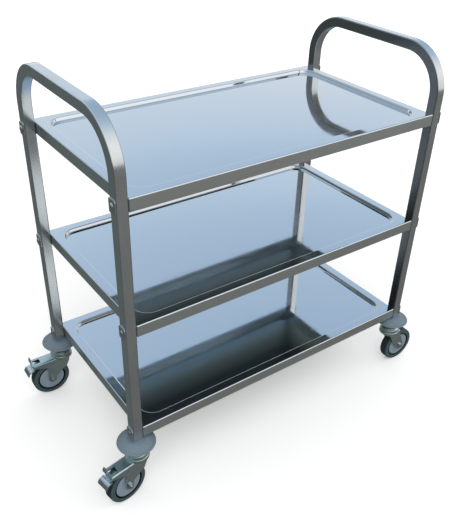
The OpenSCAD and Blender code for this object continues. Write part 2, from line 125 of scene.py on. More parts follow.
class CartSizes(bpy.types.PropertyGroup):
    """Sizes of the dressed pieces."""
    tube_corner: bpy.props.FloatProperty(
        name="Tube corner", description="Outside corner radius of the square tube",
        default=3.0 * MM, unit="LENGTH", precision=4)
    tube_wall: bpy.props.FloatProperty(
        name="Tube wall", description="Wall thickness of the square tube",
        default=1.5 * MM, unit="LENGTH", precision=4)
    bend_radius: bpy.props.FloatProperty(
        name="Bend radius", description="Radius of the handle bends on the centre line",
        default=97.5 * MM, unit="LENGTH", precision=4)
    bolt_drop: bpy.props.FloatProperty(
        name="Bolt drop", description="Height of the shelf bolts below the rim",
        default=14.0 * MM, unit="LENGTH", precision=4)
    edge_break: bpy.props.FloatProperty(
        name="Edge break", description="Width of the broken edge on pressed steel",
        default=0.35 * MM, unit="LENGTH", precision=5)


def colour_property(name, text, value):
    """A colour setting with its default."""
    return bpy.props.FloatVectorProperty(
        name=name, description=text, subtype="COLOR", size=3, min=0, max=1, default=value)


class CartFinishes(bpy.types.PropertyGroup):
    """Colours of the finishes."""
    tube: colour_property("Tube", "Satin stainless tube", (0.68, 0.70, 0.71))
    sheet: colour_property("Shelf sheet", "Polished stainless sheet", (0.70, 0.72, 0.74))
    skirt: colour_property("Shelf skirt", "Brushed stainless skirt", (0.71, 0.74, 0.73))
    underside: colour_property(
        "Underside", "Mill finish under the shelves' rims", (0.50, 0.56, 0.48))
    # Painted reflection: the bluer hem under the shelves' long edges.
    hem: colour_property("Hem", "Bluer finish under the shelves' long edges", (0.66, 0.84, 1.0))
    # Painted shade: the dark colour under the shelves' wells.
    well: colour_property("Well", "Dull finish under the shelves' wells", (0.09, 0.10, 0.10))
    # Painted shade on the tube's inner faces.
    inner_face_shade: colour_property("Grime", "Dirt on the inner faces of the tube", (0.05, 0.05, 0.05))
    fixing: colour_property("Fixings", "Bright steel bolts and nuts", (0.62, 0.63, 0.63))
    zinc: colour_property("Zinc plate", "Zinc-plated caster steel", (0.58, 0.69, 0.68))
    pedal: colour_property("Pedal", "Zinc-plated brake pedal", (0.66, 0.72, 0.75))
    # Painted shade on the pedals inside the forks' channels.
    channel_shade: colour_property("Grease", "Dark grease inside the forks", (0.02, 0.02, 0.022))
    ball: colour_property("Balls", "Hardened steel of the swivel bearings", (0.72, 0.73, 0.74))
    bumper: colour_property("Bumper", "Blue-grey moulded bumper", (0.150, 0.205, 0.250))
    hub: colour_property("Wheel centre", "Grey moulded wheel centre", (0.215, 0.275, 0.330))
    tyre: colour_property("Tyre", "Dark grey rubber", (0.040, 0.078, 0.088))
    plug: colour_property("Plug", "Black moulded plug", (0.015, 0.015, 0.016))


class CartStage(bpy.types.PropertyGroup):
    """The camera and the light."""
    eye: bpy.props.FloatVectorProperty(
        name="Eye", description="Where the camera stands", subtype="TRANSLATION", size=3,
        default=(-0.8714, -1.1715, 1.3092))
    heading: bpy.props.FloatProperty(
        name="Heading", description="Turn of the view from +X towards +Y", subtype="ANGLE",
        default=math.radians(53.347))
    pitch: bpy.props.FloatProperty(
        name="Pitch", description="Tilt of the view above level", subtype="ANGLE",
        default=math.radians(-33.58))
    roll: bpy.props.FloatProperty(
        name="Roll", description="Turn of the camera about its view", subtype="ANGLE",
        default=math.radians(2.03))
    lens: bpy.props.FloatProperty(
        name="Lens", description="Focal length on a 36 mm sensor", unit="CAMERA", default=46.83)
    floor: colour_property("Floor", "Pale floor", (0.93, 0.93, 0.93))
    overhead: colour_property(
        "Overhead", "Blue of the ceiling above the cart, in steel", (0.375, 0.52, 0.71))
    ceiling: colour_property(
        "Ceiling", "Pale blue of the ceiling further out, in steel", (0.59, 0.755, 0.935))
    ceiling_left: colour_property(
        "Ceiling left", "Grey of the ceiling's left part, in steel", (0.38, 0.44, 0.48))
    tray: colour_property(
        "Tray", "Grey of the low tray round the cart, in steel", (0.185, 0.190, 0.185))
    tray_left: colour_property(
        "Tray left", "Grey of the tray's left part, in steel", (0.118, 0.140, 0.140))
    tray_back: colour_property(
        "Tray back", "Blue grey of the tray behind the cart, in steel", (0.20, 0.29, 0.39))


# Node trees

class Wire:
    """A socket that takes part in Python sums."""

    def __init__(self, maker, socket):
        self.maker, self.socket = maker, socket

    def _join(self, operation, left, right):
        return self.maker.node(
            "ShaderNodeMath", {"operation": operation}, {0: left, 1: right})["Value"]

    def or_more(self, other):
        """The larger of this and another number."""
        return self._join("MAXIMUM", self, other)

    def __add__(self, other): return self._join("ADD", self, other)
    def __radd__(self, other): return self._join("ADD", other, self)
    def __sub__(self, other): return self._join("SUBTRACT", self, other)
    def __rsub__(self, other): return self._join("SUBTRACT", other, self)
    def __mul__(self, other): return self._join("MULTIPLY", self, other)
    def __rmul__(self, other): return self._join("MULTIPLY", other, self)
    def __pow__(self, other): return self._join("POWER", self, other)
    def __rpow__(self, other): return self._join("POWER", other, self)
    def __abs__(self): return self._join("ABSOLUTE", self, None)


class Outputs:
    """The outputs of a node, by name or number."""

    def __init__(self, maker, node):
        self.maker, self.node = maker, node

    def __getitem__(self, name):
        return Wire(self.maker, self.node.outputs[name])


class Tree:
    """A node tree that is being written."""

    def __init__(self, tree):
        self.tree = tree
        tree.nodes.clear()

    def node(self, kind, settings=None, values=None):
        """A node of a kind, with its settings first and then its sockets' values or links."""
        node = self.tree.nodes.new(kind)
        for key, value in (settings or {}).items():
            setattr(node, key, value)
        for key, value in (values or {}).items():
            socket = node.inputs[key]
            if isinstance(value, Wire):
                self.tree.links.new(value.socket, socket)
            elif value is not None:
                if socket.type == "RGBA":
                    value = (*value[:3], 1)
                socket.default_value = value
        return Outputs(self, node)


class Finish(Tree):
    """A material and the tree that paints it."""

    def __init__(self, name):
        self.material = bpy.data.materials.new(name)
        self.material.use_nodes = True
        super().__init__(self.material.node_tree)

    def coordinates(self):
        """Object coordinates."""
        return self.node("ShaderNodeTexCoord")["Object"]

    def place(self):
        """Object coordinates as three numbers."""
        return self.node("ShaderNodeSeparateXYZ", {}, {"Vector": self.coordinates()})

    def attribute(self, name):
        """A number that the mesh carries."""
        return self.node("ShaderNodeAttribute", {"attribute_name": name})["Fac"]

    def noise(self, size, stretch=(1, 1, 1), detail=3.0, vector=None):
        """Noise from 0 to 1 with features of about a size, longer where stretch is low."""
        if vector is None:
            vector = self.node("ShaderNodeMapping", {}, {
                "Vector": self.coordinates(), "Scale": stretch})["Vector"]
        return self.node("ShaderNodeTexNoise", {}, {
            "Vector": vector, "Scale": 1 / size, "Detail": detail})["Fac"]

    def span(self, value, low, high, to_low=0.0, to_high=1.0):
        """Maps a value from one span to another and keeps it inside."""
        return self.node("ShaderNodeMapRange", {"clamp": True}, {
            "Value": value, "From Min": low, "From Max": high,
            "To Min": to_low, "To Max": to_high})["Result"]

    def blend(self, amount, first, second):
        """Mixes two colours."""
        return self.node(
            "ShaderNodeMix", {"data_type": "RGBA"}, {0: amount, 6: first, 7: second})[2]

    def surface(self, colour, rough, height=None, depth=0.0, metal=1.0):
        """Ends the material in one Principled shader, bumped by heights from 0 to 1."""
        values = {"Base Color": colour, "Metallic": metal, "Roughness": rough}
        if height is not None:
            values["Normal"] = self.node("ShaderNodeBump", {}, {
                "Height": height, "Strength": 1.0, "Distance": depth})["Normal"]
        self.show(self.node("ShaderNodeBsdfPrincipled", {}, values)["BSDF"])
        return self.material

    def show(self, shader):
        """Ends the material in a shader."""
        self.node("ShaderNodeOutputMaterial", {}, {"Surface": shader})


class Shape(Tree):
    """A Geometry Nodes tree with named inputs, which turns a start mesh into a piece."""

    def __init__(self, name, **inputs):
        super().__init__(bpy.data.node_groups.new(name, "GeometryNodeTree"))
        sockets = self.tree.interface
        sockets.new_socket("Geometry", in_out="INPUT", socket_type="NodeSocketGeometry")
        for key, kind in inputs.items():
            label = key.replace("_", " ").capitalize()
            sockets.new_socket(label, in_out="INPUT", socket_type="NodeSocket" + kind)
        sockets.new_socket("Geometry", in_out="OUTPUT", socket_type="NodeSocketGeometry")
        self.given = self.node("NodeGroupInput")

    def end(self, geometry):
        """Ends the tree in whole geometry with its material."""
        whole = self.node("GeometryNodeRealizeInstances", {}, {"Geometry": geometry})["Geometry"]
        dressed = self.node("GeometryNodeSetMaterial", {}, {
            "Geometry": whole, "Material": self.given["Material"]})
        self.node("NodeGroupOutput", {}, {"Geometry": dressed["Geometry"]})
        return self

    def copies(self, points, piece, turn=(0, 0, 0)):
        """Copies of a piece on points."""
        return self.node("GeometryNodeInstanceOnPoints", {}, {
            "Points": points, "Instance": piece, "Rotation": turn})["Instances"]

    def grow(self, name, start, **values):
        """Runs the tree on a start mesh and gives the result as a plain object."""
        seed = new_object(name + ".start", start)
        modifier = seed.modifiers.new(self.tree.name, "NODES")
        modifier.node_group = self.tree
        for item in self.tree.interface.items_tree:
            key = item.name.lower().replace(" ", "_")
            if item.in_out == "INPUT" and key in values:
                modifier[item.identifier] = values[key]
        seed.update_tag()
        graph = bpy.context.evaluated_depsgraph_get()
        graph.update()
        mesh = bpy.data.meshes.new_from_object(
            seed.evaluated_get(graph), preserve_all_data_layers=True, depsgraph=graph)
        seed.modifiers.remove(modifier)
        bpy.data.objects.remove(seed)
        mesh.name = name
        return new_object(name, mesh)


# Making and placing pieces

SHARP = 40


def new_object(name, mesh):
    """A linked object at the origin."""
    obj = bpy.data.objects.new(name, mesh)
    bpy.context.scene.collection.objects.link(obj)
    return obj


def settle(obj, body, slot, nodes, *finishes):
    """Has a piece stand for its nodes on a body, with its finishes."""
    while obj.data.materials:
        obj.data.materials.pop()
    for finish in finishes:
        obj.data.materials.append(finish)
    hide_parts(*nodes)
    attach(obj, body)
    return obj


def ring(radius, height, flats=None, steps=96):
    """A ring of points, round or cut to a hexagon of a width across its flats."""
    points = []
    for step in range(steps):
        angle = math.tau * step / steps
        reach = radius
        if flats:
            off_flat = angle % math.radians(60) - math.radians(30)
            reach = min(radius, flats / 2 / math.cos(off_flat))
        points.append(Vector((reach * math.cos(angle), reach * math.sin(angle), height)) * MM)
    return points


def turned(outline, steps=96):
    """Rings of points from (radius, height) or (radius, height, flats), all in millimetres."""
    return [ring(*corner, steps=steps) for corner in outline]


def mirrored(outline):
    """An outline with its mirror image below."""
    return outline + [(radius, -height) for radius, height in reversed(outline)]


def rounded(outline, radius, steps=4):
    """Rounds the corners of a closed outline, each no more than its sides allow."""
    points = [Vector(point) for point in outline]
    result = []
    for index, corner in enumerate(points):
        before, after = points[index - 1] - corner, points[(index + 1) % len(points)] - corner
        turn = math.pi - before.angle(after, math.pi)
        if turn < math.radians(12):  # already a curve
            result.append(tuple(corner))
            continue
        reach = min(radius * math.tan(turn / 2), 0.45 * before.length, 0.45 * after.length)
        start = corner + before.normalized() * reach
        end = corner + after.normalized() * reach
        for step in range(steps + 1):
            part = step / steps
            near, far = start.lerp(corner, part), corner.lerp(end, part)
            result.append(tuple(near.lerp(far, part)))
    return result


def stitched(name, rings, place=Matrix.Identity(4), sharp=SHARP):
    """A solid stitched from rings of points, each of which keeps its reach from the axis."""
    mesh = bmesh.new()
    reach = mesh.verts.layers.float.new("reach")
    rows = [[mesh.verts.new(point) for point in row] for row in rings]
    for vert in mesh.verts:
        vert[reach] = vert.co.xy.length
    for first, second in zip(rows, rows[1:] + rows[:1]):
        for index in range(len(first)):
            after = (index + 1) % len(first)
            mesh.faces.new((first[index], first[after], second[after], second[index]))
    bmesh.ops.remove_doubles(mesh, verts=mesh.verts, dist=1e-6)
    bmesh.ops.dissolve_degenerate(mesh, edges=mesh.edges, dist=1e-7)
    mesh.transform(place)
    bmesh.ops.recalc_face_normals(mesh, faces=mesh.faces)
    return shaded(name, mesh, sharp)


def shaded(name, mesh, sharp=SHARP):
    """A smooth mesh, creased where its faces meet at more than an angle in degrees."""
    data = bpy.data.meshes.new(name)
    mesh.to_mesh(data)
    mesh.free()
    if "custom_normal" in data.attributes:
        data.attributes.remove(data.attributes["custom_normal"])
    data.shade_smooth()
    data.set_sharp_from_angle(angle=math.radians(sharp))
    return data


def eased(node, width, name):
    """A copy of a node, merged into whole faces, with its edges eased."""
    mesh = bmesh.new()
    mesh.from_mesh(frame["nodes"][node].data)
    bmesh.ops.remove_doubles(mesh, verts=mesh.verts, dist=2e-6)
    bmesh.ops.dissolve_limit(
        mesh, angle_limit=math.radians(0.3), verts=mesh.verts, edges=mesh.edges)
    obj = new_object(name, shaded(name, mesh))
    bevel = obj.modifiers.new("Eased edges", "BEVEL")
    bevel.width = width
    bevel.segments = 2
    bevel.limit_method = "ANGLE"
    bevel.angle_limit = math.radians(SHARP)
    bevel.harden_normals = True
    even_shading(obj)
    return obj


def even_shading(obj):
    """Keeps flat faces flat beside rounded edges."""
    weighted = obj.modifiers.new("Even shading", "WEIGHTED_NORMAL")
    weighted.keep_sharp = True


def arc(x, y, radius, start, end, steps=8):
    """Points on an arc, with angles in degrees."""
    angles = [math.radians(start + (end - start) * step / steps) for step in range(steps + 1)]
    return [(x + radius * math.cos(angle), y + radius * math.sin(angle)) for angle in angles]


def points_mesh(name, points, edges=()):
    """A start mesh for a Geometry Nodes tree."""
    mesh = bpy.data.meshes.new(name)
    mesh.from_pydata(points, edges, [])
    return mesh


# Finishes

BLACK = (0.002, 0.002, 0.002)


def toned(colour, amount, lift=0.0):
    """A colour made darker or lighter."""
    return tuple(min(1, part * amount + lift) for part in colour)


def tube_steel(colours):
    """Satin tube with brush lines along it and faint smudges, with painted shade on the inner
    faces.
    """
    paint = Finish("satin_tube")
    drawn_out = 0.012
    surface = paint.node("ShaderNodeCombineXYZ", {}, {
        "X": paint.attribute("along") * drawn_out, "Y": paint.attribute("around")})["Vector"]
    lines = paint.noise(0.9 * MM, detail=4.0, vector=surface)
    smudge = paint.noise(90 * MM, detail=2.0)
    colour = paint.blend(lines, toned(colours.tube, 0.93), toned(colours.tube, 1.05))
    # Painted shade: the tube's inner faces, which face into the cart, are darkened.
    inner = LEG_X - TUBE_W / 2
    inner_shade = paint.span(abs(paint.place()["X"]), inner + 3.0 * MM, inner + 0.5 * MM)
    colour = paint.blend(inner_shade * 0.6, colour, colours.inner_face_shade)
    colour = paint.node("ShaderNodeVectorMath", {"operation": "SCALE"}, {
        0: colour, "Scale": paint.span(smudge, 0.3, 0.7, 0.94, 1.04)})["Vector"]
    return paint.surface(colour, 0.12 + lines * 0.10 + smudge * 0.08, lines, 0.012 * MM)


def sheet_steel(colours):
    """Polished shelf top with faint waves, hairlines and wiping marks."""
    paint = Finish("polished_sheet")
    wave = paint.noise(220 * MM, detail=1.0)
    hair = paint.noise(1.2 * MM, (0.02, 1, 1))
    wipe = paint.noise(60 * MM, (1, 2.5, 1), detail=4.0)
    rough = 0.03 + paint.span(wipe, 0.35, 0.75, 0.0, 0.05) + hair * 0.02
    return paint.surface(colours.sheet, rough, wave + hair * 0.004, 0.06 * MM)


def skirt_steel(colours):
    """Brushed folded skirt with lines along the edge."""
    paint = Finish("brushed_skirt")
    lines = paint.noise(0.8 * MM, (0.012, 0.012, 1), detail=4.0)
    cloud = paint.noise(120 * MM, detail=2.0)
    colour = paint.blend(lines, toned(colours.skirt, 0.90), toned(colours.skirt, 1.08))
    return paint.surface(colour, 0.22 + lines * 0.14 + cloud * 0.06, lines, 0.015 * MM)


def underside_steel(colours):
    """Mill finish under a shelf, with painted shade under the pressed well and a painted blue
    reflection at the long edges.
    """
    paint = Finish("dull_underside")
    cloud = paint.noise(50 * MM, (1, 2, 1), detail=4.0)
    grain = paint.noise(1.5 * MM, (0.05, 1, 1))
    place = paint.place()
    end, side = abs(place["X"]), abs(place["Y"])
    rim = paint.span(side, 75 * MM, 165 * MM).or_more(paint.span(end, 290 * MM, 365 * MM))
    # Painted shade: dark under the pressed well, and cloudy patches of the same dark all over.
    colour = paint.blend(rim, colours.well, colours.underside)
    # Painted reflection: the long edges are bluer.
    colour = paint.blend(paint.span(side, 135 * MM, 215 * MM), colour, colours.hem)
    colour = paint.blend(cloud * 0.3, colour, colours.well)
    return paint.surface(colour, 0.24 + grain * 0.12, grain, 0.015 * MM)


def plate_steel(colours):
    """Stamped washer plate, a little duller than the bolts."""
    paint = Finish("stamped_plate")
    grain = paint.noise(1.0 * MM, (1, 1, 0.05))
    cloud = paint.noise(12 * MM, detail=2.0)
    colour = paint.blend(cloud, toned(colours.fixing, 0.80), toned(colours.fixing, 0.98))
    return paint.surface(colour, 0.24 + grain * 0.16, grain, 0.012 * MM)


def fastener_steel(colours):
    """Bright turned bolts and nuts."""
    paint = Finish("bright_fastener")
    grain = paint.noise(1.2 * MM)
    cloud = paint.noise(6 * MM, detail=2.0)
    colour = paint.blend(cloud, toned(colours.fixing, 0.85), colours.fixing)
    return paint.surface(colour, 0.14 + grain * 0.12, grain, 0.008 * MM)


def zinc_steel(name, base, rough, channel_shade=None):
    """Zinc plate with the clouding of the bath and rolling marks, and painted shade inside a fork's
    channel.
    """
    paint = Finish(name)
    cloud = paint.noise(14 * MM, detail=4.0)
    marks = paint.noise(1.1 * MM, (1, 1, 0.2))
    worn = paint.span(paint.noise(5 * MM, detail=5.0), 0.56, 0.70)
    colour = paint.blend(cloud, toned(base, 0.82), toned(base, 1.12))
    colour = paint.blend(worn * 0.35, colour, toned(base, 0.6))
    rough = cloud * 0.14 + marks * 0.08 + rough
    if channel_shade is not None:
        # Painted shade: darkens what lies inside the fork's channel.
        inside = paint.attribute("inside")
        colour = paint.blend(inside, colour, channel_shade)
        rough = rough + inside * 0.2
    return paint.surface(colour, rough, marks, 0.02 * MM)


def ball_steel(colours):
    """Hardened balls with a greasy film."""
    paint = Finish("bearing_ball")
    film = paint.noise(3 * MM)
    oily = (0.45, 0.42, 0.34)
    colour = paint.blend(paint.span(film, 0.5, 0.65), colours.ball, oily)
    return paint.surface(colour, 0.08 + film * 0.15)


def moulded(name, base, rough, grain_size, groove_shade=False):
    """Moulded plastic with a fine grain, cloudy tone and pale scuffs, and a black rim of painted
    shade if asked.
    """
    paint = Finish(name)
    grain = paint.noise(grain_size, detail=4.0)
    cloud = paint.noise(30 * MM, detail=2.0)
    scuff = paint.span(paint.noise(4 * MM, (1, 1, 3), detail=6.0), 0.62, 0.74)
    colour = paint.blend(cloud, toned(base, 0.93), toned(base, 1.07))
    colour = paint.blend(scuff * 0.22, colour, toned(base, 1.5, 0.03))
    if groove_shade:
        # Painted shade: blackens the rim beside the tyre's groove.
        rim = paint.span(paint.attribute("reach"), GROOVE_R - 2.8 * MM, GROOVE_R - 2.1 * MM)
        colour = paint.blend(rim, colour, BLACK)
    return paint.surface(colour, rough + cloud * 0.08 + scuff * 0.12, grain, 0.03 * MM, metal=0.0)


def tyre_rubber(base):
    """Rubber with a fine grain and dust on the tread, and painted shade: a near-black tread and a
    black groove by the wheel centre.
    """
    paint = Finish("tyre_rubber")
    grain = paint.noise(0.9 * MM, detail=4.0)
    reach = paint.attribute("reach")
    tread = paint.span(reach, WHEEL_R - 1.4 * MM, WHEEL_R - 0.3 * MM)
    groove = paint.span(reach, GROOVE_R + 2.6 * MM, GROOVE_R + 1.8 * MM)
    dust = paint.span(paint.noise(5 * MM, detail=5.0), 0.45, 0.70) * tread
    # Painted shade: the tread nearly black and the groove beside the wheel centre black.
    colour = paint.blend(tread * 0.9, base, toned(base, 0.15))
    colour = paint.blend(groove, colour, BLACK)
    colour = paint.blend(dust * 0.15, colour, toned(base, 1.3))
    return paint.surface(colour, grain * 0.10 + dust * 0.2 + 0.52, grain, 0.05 * MM, metal=0.0)


FINISH = {}


def finishes():
    """The finishes, made once from the scene's colours."""
    colours = bpy.context.scene.cart_finishes
    if not FINISH:
        FINISH.update(
            tube=tube_steel(colours),
            sheet=sheet_steel(colours),
            skirt=skirt_steel(colours),
            underside=underside_steel(colours),
            plate=plate_steel(colours),
            fastener=fastener_steel(colours),
            zinc=zinc_steel("zinc_plate", colours.zinc, 0.20),
            pedal=zinc_steel("zinc_pedal", colours.pedal, 0.16, colours.channel_shade),
            ball=ball_steel(colours),
            bumper=moulded("bumper_plastic", colours.bumper, 0.40, 1.2 * MM),
            hub=moulded("hub_plastic", colours.hub, 0.42, 1.0 * MM, groove_shade=True),
            plug=moulded("plug_plastic", colours.plug, 0.50, 1.0 * MM),
            tyre=tyre_rubber(colours.tyre))
    return FINISH


# The pieces

class CartPiece:
    """What the operators share."""
    bl_options = {"REGISTER", "UNDO"}

    def execute(self, context):
        self.make(context.scene.cart_sizes, finishes())
        return {"FINISHED"}


class CART_OT_end_frames(CartPiece, bpy.types.Operator):
    """Sweeps the two square tube end frames, each two legs and a handle in one bent tube"""
    bl_idname = "cart.end_frames"
    bl_label = "End Frames"

    def make(self, sizes, finish):
        shape = Shape("bent_tube", tube_width="Float", corner_radius="Float", bend_radius="Float",
                      material="Material")
        given = shape.given
        path = shape.node("GeometryNodeMeshToCurve", {}, {"Mesh": given["Geometry"]})["Curve"]
        path = shape.node("GeometryNodeFilletCurve", {"mode": "POLY"}, {
            "Curve": path, "Count": 28, "Radius": given["Bend radius"]})["Curve"]
        path = shape.node("GeometryNodeSetCurveNormal", {"mode": "FREE"}, {
            "Curve": path, "Normal": (1, 0, 0)})["Curve"]
        path = self.measured(shape, path, "along")
        section = shape.node("GeometryNodeCurvePrimitiveQuadrilateral", {}, {
            "Width": given["Tube width"], "Height": given["Tube width"]})["Curve"]
        section = shape.node("GeometryNodeFilletCurve", {"mode": "POLY"}, {
            "Curve": section, "Count": 5, "Radius": given["Corner radius"]})["Curve"]
        section = self.measured(shape, section, "around")
        tube = shape.node("GeometryNodeCurveToMesh", {}, {
            "Curve": path, "Profile Curve": section})["Mesh"]
        shape.end(shape.node("GeometryNodeSetShadeSmooth", {}, {"Geometry": tube})["Geometry"])
        for side, sign in (("left", -1), ("right", 1)):
            corners = [(sign * LEG_X, y, z) for y, z in (
                (-LEG_Y, FOOT_Z), (-LEG_Y, HANDLE_Z), (LEG_Y, HANDLE_Z), (LEG_Y, FOOT_Z))]
            start = points_mesh("tube_path", corners, [(0, 1), (1, 2), (2, 3)])
            tube = shape.grow("tube_frame_" + side, start, tube_width=TUBE_W,
                              corner_radius=sizes.tube_corner, bend_radius=sizes.bend_radius,
                              material=finish["tube"])
            self.face_out(tube.data, sign * LEG_X)
            wall = tube.modifiers.new("Wall", "SOLIDIFY")
            wall.thickness = sizes.tube_wall
            wall.offset = -1
            wall.use_even_offset = True
            even_shading(tube)
            settle(tube, "frame", "tube_steel", ["end_frame_" + side], finish["tube"])

    @staticmethod
    def measured(shape, curve, name):
        """Stores the distance along a curve on its points."""
        length = shape.node("GeometryNodeSplineParameter")["Length"]
        return shape.node(
            "GeometryNodeStoreNamedAttribute", {"data_type": "FLOAT", "domain": "POINT"}, {
                "Geometry": curve, "Name": name, "Value": length})["Geometry"]

    @staticmethod
    def face_out(mesh, middle):
        """Turns the tube's faces outwards if they point in."""
        flat = max(mesh.polygons, key=lambda face: abs(face.normal.x) * face.area)
        if flat.normal.x * (flat.center.x - middle) < 0:
            mesh.flip_normals()


class CART_OT_shelves(CartPiece, bpy.types.Operator):
    """Dresses the three pressed shelves, polished on top and brushed on the skirts"""
    bl_idname = "cart.shelves"
    bl_label = "Shelves"

    def make(self, sizes, finish):
        for level in ("top", "middle", "bottom"):
            node = "shelf_" + level
            shelf = eased(node, sizes.edge_break, "pressed_shelf_" + level)
            settle(shelf, "frame", "shelf_steel", [node],
                   finish["sheet"], finish["skirt"], finish["underside"])
            for face in shelf.data.polygons:
                up = face.normal.z
                face.material_index = 0 if up > 0.3 else 2 if up < -0.3 else 1


class CART_OT_shelf_fixings(CartPiece, bpy.types.Operator):
    """Sets the washer plates, domed bolts and nuts that hold the shelves"""
    bl_idname = "cart.shelf_fixings"
    bl_label = "Shelf Fixings"
    shank, bore = 3.0, 3.05

    def make(self, sizes, finish):
        plate_low, plate_high = node_box("washer_plates_left")
        bolt_low, bolt_high = node_box("shelf_bolts_left")
        nut_low, nut_high = node_box("shelf_nuts_left")
        plate = (LEFT_LOW.x - plate_low.x) / MM
        head = (plate_low.x - bolt_low.x) / MM
        reach = (bolt_high.x - LEFT_LOW.x) / MM
        head_r = (-LEG_Y - bolt_low.y) / MM
        bolts = [(0, plate + head)]
        dome_r = (head_r ** 2 + head ** 2) / (2 * head)
        dome_steps = 12
        for step in range(1, dome_steps + 1):
            angle = math.asin(head_r / dome_r) * step / dome_steps
            bolts.append((dome_r * math.sin(angle), plate + head - dome_r * (1 - math.cos(angle))))
        shank, chamfer = self.shank, 0.6
        bolts += [(head_r, plate), (shank, plate), (shank, chamfer - reach),
                  (shank - chamfer, -reach), (0, -reach)]
        flats = 2 * (nut_high.y - LEG_Y) / MM * math.cos(math.radians(30))
        nut_in, nut_out = (LEFT_LOW.x - nut_high.x) / MM, (LEFT_LOW.x - nut_low.x) / MM
        face_r, corner_r = 0.47 * flats, 0.60 * flats
        nuts = [(self.bore, nut_in), (face_r, nut_in), (corner_r, nut_in + chamfer, flats),
                (corner_r, nut_out - chamfer, flats), (face_r, nut_out), (self.bore, nut_out)]
        tall = (plate_high.z - plate_low.z - (RIMS[2] - RIMS[0])) / MM
        plates = self.plate_rings(plate, tall, TUBE_W / MM)
        shape = Shape("set_at_bolts", piece="Object", facing="Vector", material="Material")
        given = shape.given
        pattern = shape.node("GeometryNodeObjectInfo", {}, {"Object": given["Piece"]})["Geometry"]
        shape.end(shape.copies(given["Geometry"], pattern, given["Facing"]))
        for name, rings, node, slot, dress in (
                ("domed_bolt", turned(bolts, 48), "shelf_bolts_", "fastener_steel", "fastener"),
                ("shelf_nut", turned(nuts, 48), "shelf_nuts_", "fastener_steel", "fastener"),
                ("washer_plate", plates, "washer_plates_", "plate_steel", "plate")):
            pattern = new_object(name + ".pattern", stitched(name, rings, sharp=35))
            for side, sign in (("left", -1), ("right", 1)):
                start = points_mesh("bolt_places", [
                    (sign * -LEFT_LOW.x, y, rim - sizes.bolt_drop)
                    for rim in RIMS for y in (-LEG_Y, LEG_Y)])
                made = shape.grow(name + "s_" + side, start, piece=pattern,
                                  facing=(0, sign * math.pi / 2, 0), material=finish[dress])
                even_shading(made)
                settle(made, "frame", slot, [node + side], finish[dress])
            bpy.data.objects.remove(pattern)

    def plate_rings(self, thick, tall, wide):
        """Rings for a round-cornered plate with its bore and eased edges."""
        corner_r = 3

        def corner_ring(inset, height):
            points = []
            for x, y, start in ((1, 1, 0), (-1, 1, 90), (-1, -1, 180), (1, -1, 270)):
                points += arc(x * (tall / 2 - corner_r), y * (wide / 2 - corner_r),
                              corner_r - inset, start, start + 90, 11)
            return [Vector((*point, height)) * MM for point in points]

        def bore_ring(height):
            angles = [math.atan2(point.y, point.x) for point in corner_ring(0, 0)]
            return [Vector((self.bore * math.cos(angle), self.bore * math.sin(angle), height)) * MM
                    for angle in angles]

        eased_edge = ((0.4, 0), (0.1, 0.1), (0, 0.4))
        return ([bore_ring(0)] + [corner_ring(*step) for step in eased_edge]
                + [corner_ring(inset, thick - height) for inset, height in reversed(eased_edge)]
                + [bore_ring(thick)])


class CART_OT_bumpers(CartPiece, bpy.types.Operator):
    """Turns the four bumper discs under the legs"""
    bl_idname = "cart.bumpers"
    bl_label = "Bumpers"

    def make(self, sizes, finish):
        low, high = node_box("front_left_bumper")
        top, foot = high.z / MM, low.z / MM
        rim = (high.x - low.x) / 2 / MM
        bore, seat, collar, collar_drop = 5.55, 19.0, 16, 5
        bead, bead_drop = 2.5, 12.5
        inner = rim - 2 * bead
        outline = [(bore, top), (seat, top)]
        crown_steps = 12
        for step in range(1, crown_steps + 1):
            part = step / crown_steps
            outline.append((seat + (inner - seat) * part, top + (bead - bead_drop) * part ** 1.5))
        outline += arc(rim - bead, top - bead_drop, bead, 90, -90, 14)
        outline += rounded([(inner, top - bead_drop - bead), (collar, top - collar_drop),
                            (collar, foot), (bore, foot)], 1.0)
        for corner in CORNERS:
            mesh = stitched(corner + "_disc", turned(outline, 128), caster_place(corner))
            disc = new_object(corner + "_disc", mesh)
            settle(disc, "frame", "bumper_grey", [corner + "_bumper"], finish["bumper"])


